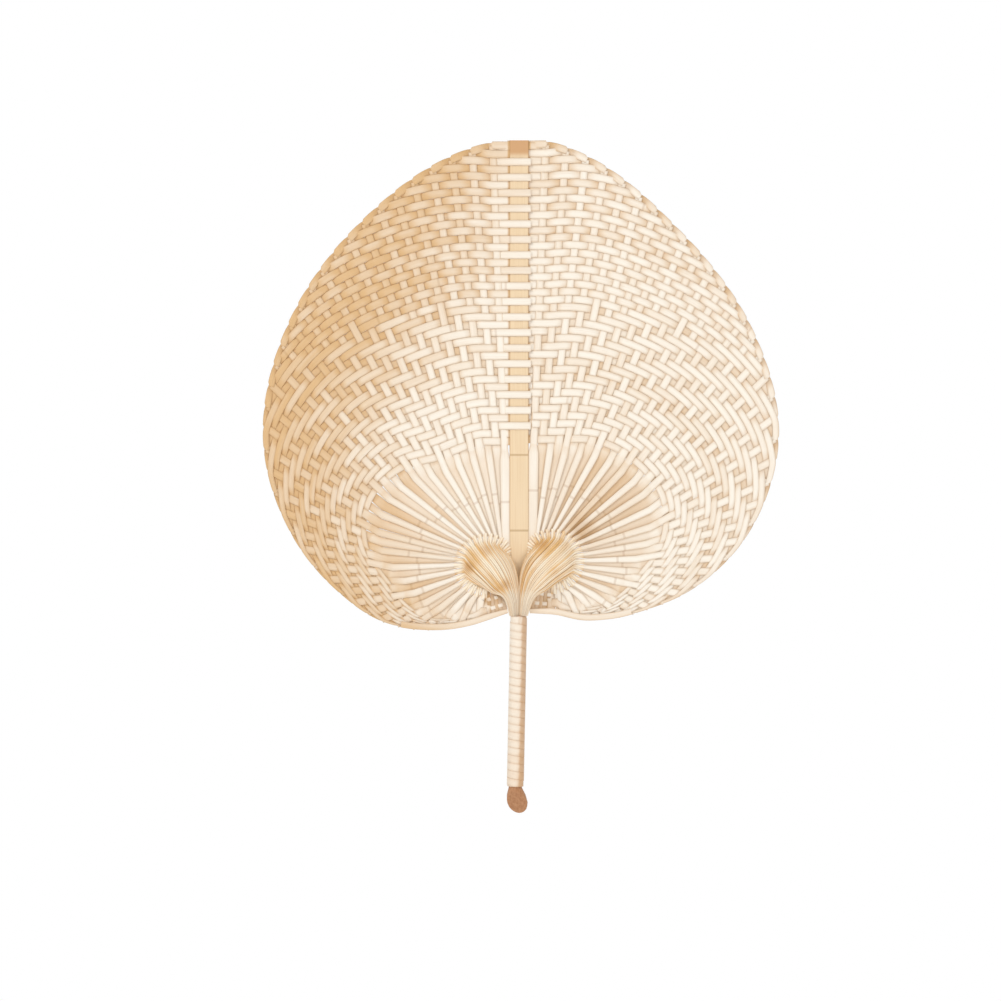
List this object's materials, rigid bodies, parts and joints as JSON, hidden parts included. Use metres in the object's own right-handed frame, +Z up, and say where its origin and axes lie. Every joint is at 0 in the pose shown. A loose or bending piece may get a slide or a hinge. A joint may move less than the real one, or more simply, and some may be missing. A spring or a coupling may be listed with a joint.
{
  "type": "woven hand fan",
  "caption": "Heart-shaped hand fan woven from flat bamboo splints that fan out of curled whorls, with a flat centre rib and a slim wrapped handle.",
  "frame": {"origin": "middle of the grip, on the axis of the handle", "axes": "+Z up the fan from the handle to the top of the blade, +X to the right when the front is looked at, the front faces -Y"},
  "size_m": [0.2958, 0.0154, 0.3874],
  "materials": {
    "splint": "satin",
    "whorl": "satin",
    "rib": "satin",
    "stick": "satin",
    "wrap": "satin"
  },
  "bodies": {
    "root": {"left_splints_01": "splint", "left_splints_02": "splint", "left_splints_03": "splint", "left_splints_04": "splint", "left_splints_05": "splint", "left_splints_06": "splint", "left_splints_07": "splint", "left_splints_08": "splint", "left_splints_09": "splint", "left_splints_10": "splint", "left_splints_11": "splint", "left_splints_12": "splint", "left_splints_13": "splint", "left_splints_14": "splint", "left_splints_15": "splint", "left_splints_16": "splint", "left_splints_17": "splint", "left_splints_18": "splint", "left_splints_19": "splint", "left_splints_20": "splint", "left_whorl": "whorl", "left_lower_band": "splint", "right_splints_01": "splint", "right_splints_02": "splint", "right_splints_03": "splint", "right_splints_04": "splint", "right_splints_05": "splint", "right_splints_06": "splint", "right_splints_07": "splint", "right_splints_08": "splint", "right_splints_09": "splint", "right_splints_10": "splint", "right_splints_11": "splint", "right_splints_12": "splint", "right_splints_13": "splint", "right_splints_14": "splint", "right_splints_15": "splint", "right_splints_16": "splint", "right_splints_17": "splint", "right_splints_18": "splint", "right_splints_19": "splint", "right_splints_20": "splint", "right_whorl": "whorl", "right_lower_band": "splint", "centre_rib": "rib", "handle_stick": "stick", "grip_wrap": "wrap"}
  },
  "joints": []
}
